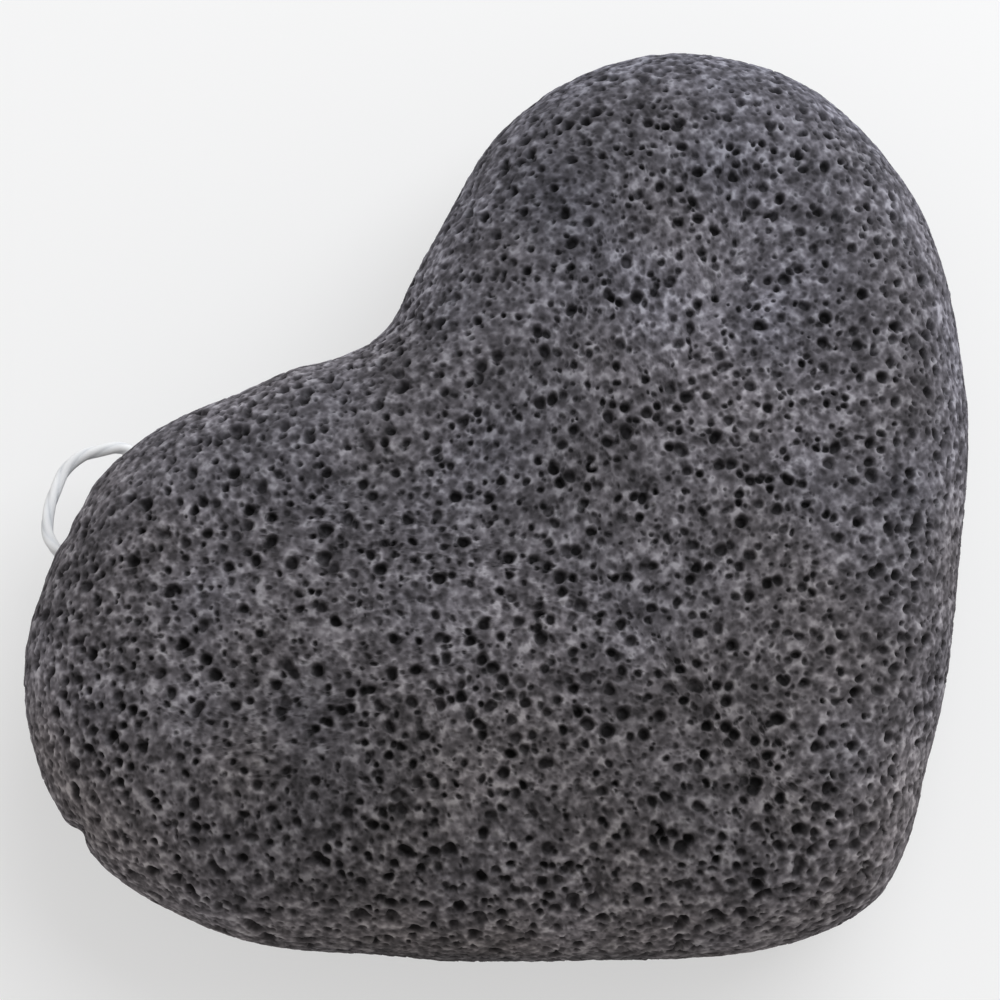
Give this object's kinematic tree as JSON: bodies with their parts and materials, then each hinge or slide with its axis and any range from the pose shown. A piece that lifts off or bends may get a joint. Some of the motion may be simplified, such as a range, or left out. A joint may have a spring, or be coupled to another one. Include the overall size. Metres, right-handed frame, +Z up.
{
  "type": "konjac sponge",
  "caption": "Heart-shaped cleansing sponge of dark open-pored foam, flat underneath and crowned on top, with a thin white cord loop at one lobe for hanging it up to dry.",
  "frame": {"origin": "middle of the flat base, under the centre of the heart's outline", "axes": "+X across the two lobes to the right one, +Y from the tip to the notch, +Z up from the flat base to the crown"},
  "size_m": [0.088, 0.0718, 0.026],
  "materials": {
    "foam": "matte",
    "cord": "matte"
  },
  "bodies": {
    "sponge": {"sponge_body": "foam", "cord_leg_upper": "cord", "cord_leg_lower": "cord", "cord_knot": "cord"},
    "loop": {"cord_loop": "cord"}
  },
  "joints": [
    {"name": "loop_swing", "type": "hinge", "parent": "sponge", "child": "loop", "pos_m": [-0.02551, 0.03288, 0.0098], "axis": [0.9664, 0.2571, 0], "range_deg": [-35, 72]}
  ]
}
